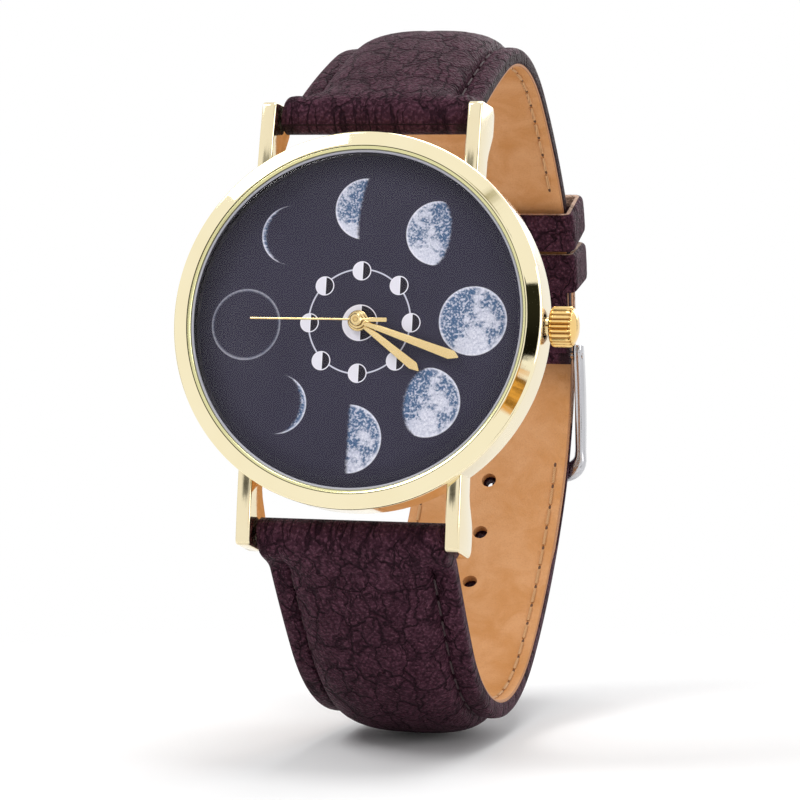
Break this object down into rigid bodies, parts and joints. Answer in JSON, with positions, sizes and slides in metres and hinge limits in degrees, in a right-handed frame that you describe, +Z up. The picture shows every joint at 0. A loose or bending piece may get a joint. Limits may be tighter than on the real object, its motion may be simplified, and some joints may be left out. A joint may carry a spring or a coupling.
{
  "type": "wristwatch",
  "caption": "Round quartz wristwatch with hands over a printed moon phase dial, fluted crown, slim lugs and a padded two-piece leather strap closed by a tang buckle.",
  "frame": {"origin": "middle of the bottom of the whole watch, which stands on its buckled strap", "axes": "+X points at the crown, +Z is up, and the dial looks towards -Y, tilted back by ten degrees"},
  "size_m": [0.0411, 0.066, 0.0758],
  "materials": {
    "champagne_gold": "polished champagne-gold plating",
    "crown_gold": "polished gold plating",
    "hand_gold": "polished pale gold",
    "steel": "satin",
    "silver": "polished",
    "glass": "polished",
    "gasket": "satin",
    "dial_slate": "printed matt",
    "ring_dark": "matt",
    "leather_plum": "padded pebble grain",
    "lining_tan": "smooth",
    "felt": "soft padding",
    "thread": "waxed thread",
    "brass": "satin",
    "plastic_white": "matt",
    "plate_plastic": "matt",
    "board_green": "satin",
    "copper": "enamelled wire"
  },
  "bodies": {
    "case": {"case_middle": "champagne_gold", "bezel": "champagne_gold", "crystal": "glass", "crystal_gasket": "gasket", "dial_ring": "ring_dark", "case_back": "steel", "back_gasket": "gasket", "crown_tube": "steel", "dial": "dial_slate", "movement_ring": "plastic_white", "main_plate": "plate_plastic", "train_bridge": "brass", "battery": "steel", "battery_clamp": "steel", "circuit_board": "board_green", "quartz_can": "steel", "coil": "copper", "coil_core": "steel", "stator": "steel", "movement_screws": "steel", "upper_spring_bar": "steel", "lower_spring_bar": "steel", "spring_bar_springs": "steel", "upper_lining": "lining_tan", "lower_lining": "lining_tan", "upper_leather": "leather_plum", "lower_leather": "leather_plum", "upper_padding": "felt", "lower_padding": "felt", "upper_stitching": "thread", "lower_stitching": "thread", "fixed_keeper": "leather_plum"},
    "seconds": {"second_hand": "hand_gold", "second_wheel": "brass"},
    "minutes": {"minute_hand": "hand_gold", "centre_wheel": "brass"},
    "hours": {"hour_hand": "hand_gold", "hour_wheel": "brass"},
    "third_gear": {"third_wheel": "plastic_white"},
    "intermediate_gear": {"intermediate_wheel": "plastic_white"},
    "rotor_body": {"rotor": "steel"},
    "minute_gear": {"minute_wheel": "brass"},
    "setting_gear": {"setting_wheel": "brass"},
    "clutch": {"clutch_wheel": "steel"},
    "crown_body": {"crown": "crown_gold", "stem": "steel", "crown_gasket": "gasket"},
    "upper_right_pin": {"upper_right_plunger": "steel"},
    "upper_left_pin": {"upper_left_plunger": "steel"},
    "lower_right_pin": {"lower_right_plunger": "steel"},
    "lower_left_pin": {"lower_left_plunger": "steel"},
    "buckle": {"buckle_frame": "silver", "buckle_bar": "silver"},
    "tongue": {"buckle_tongue": "silver"},
    "keeper": {"sliding_keeper": "leather_plum"}
  },
  "joints": [
    {"name": "second_turn", "type": "hinge", "parent": "case", "child": "seconds", "pos_m": [-0.00155, -0.02624, 0.04447], "axis": [0, 0.9848, -0.1736], "continuous": true},
    {"name": "minute_turn", "type": "hinge", "parent": "case", "child": "minutes", "pos_m": [-0.00155, -0.02624, 0.04447], "axis": [0, 0.9848, -0.1736], "continuous": true},
    {"name": "hour_turn", "type": "hinge", "parent": "case", "child": "hours", "pos_m": [-0.00155, -0.02624, 0.04447], "axis": [0, 0.9848, -0.1736], "continuous": true},
    {"name": "third_turn", "type": "hinge", "parent": "case", "child": "third_gear", "pos_m": [-0.00449, -0.02594, 0.04614], "axis": [0, 0.9848, -0.1736], "continuous": true},
    {"name": "intermediate_turn", "type": "hinge", "parent": "case", "child": "intermediate_gear", "pos_m": [0.00148, -0.02654, 0.04275], "axis": [0, 0.9848, -0.1736], "continuous": true},
    {"name": "rotor_turn", "type": "hinge", "parent": "case", "child": "rotor_body", "pos_m": [0.00148, -0.02688, 0.04086], "axis": [0, 0.9848, -0.1736], "continuous": true},
    {"name": "minute_wheel_turn", "type": "hinge", "parent": "case", "child": "minute_gear", "pos_m": [0.00045, -0.02624, 0.04447], "axis": [0, 0.9848, -0.1736], "continuous": true},
    {"name": "setting_wheel_turn", "type": "hinge", "parent": "case", "child": "setting_gear", "pos_m": [0.00345, -0.02624, 0.04447], "axis": [0, 0.9848, -0.1736], "continuous": true},
    {"name": "crown_turn", "type": "hinge", "parent": "case", "child": "clutch", "pos_m": [0.00555, -0.02644, 0.04451], "axis": [1, 0, 0], "continuous": true},
    {"name": "crown_pull", "type": "slide", "parent": "clutch", "child": "crown_body", "axis": [1, 0, 0], "range_m": [0, 0.001]},
    {"name": "upper_right_press", "type": "slide", "parent": "case", "child": "upper_right_pin", "axis": [-1, 0, 0], "range_m": [0, 0.0011]},
    {"name": "upper_left_press", "type": "slide", "parent": "case", "child": "upper_left_pin", "axis": [1, 0, 0], "range_m": [0, 0.0011]},
    {"name": "lower_right_press", "type": "slide", "parent": "case", "child": "lower_right_pin", "axis": [-1, 0, 0], "range_m": [0, 0.0011]},
    {"name": "lower_left_press", "type": "slide", "parent": "case", "child": "lower_left_pin", "axis": [1, 0, 0], "range_m": [0, 0.0011]},
    {"name": "buckle_swing", "type": "hinge", "parent": "case", "child": "buckle", "pos_m": [-0.00155, 0.02942, 0.04013], "axis": [1, 0, 0], "range_deg": [-1, 2]},
    {"name": "tongue_swing", "type": "hinge", "parent": "buckle", "child": "tongue", "pos_m": [-0.00155, 0.02942, 0.04013], "axis": [1, 0, 0], "range_deg": [0, 1]},
    {"name": "keeper_slide", "type": "slide", "parent": "case", "child": "keeper", "axis": [0, -0.391, 0.9204], "range_m": [0, 0.0012]}
  ],
  "couplings": [
    {"joint": "minute_turn", "follows": "second_turn", "ratio": 0.016667},
    {"joint": "hour_turn", "follows": "second_turn", "ratio": 0.0013889},
    {"joint": "third_turn", "follows": "second_turn", "ratio": -0.13333},
    {"joint": "intermediate_turn", "follows": "second_turn", "ratio": -6},
    {"joint": "rotor_turn", "follows": "second_turn", "ratio": 30},
    {"joint": "minute_wheel_turn", "follows": "second_turn", "ratio": -0.0055556},
    {"joint": "setting_wheel_turn", "follows": "second_turn", "ratio": 0.0055556}
  ]
}
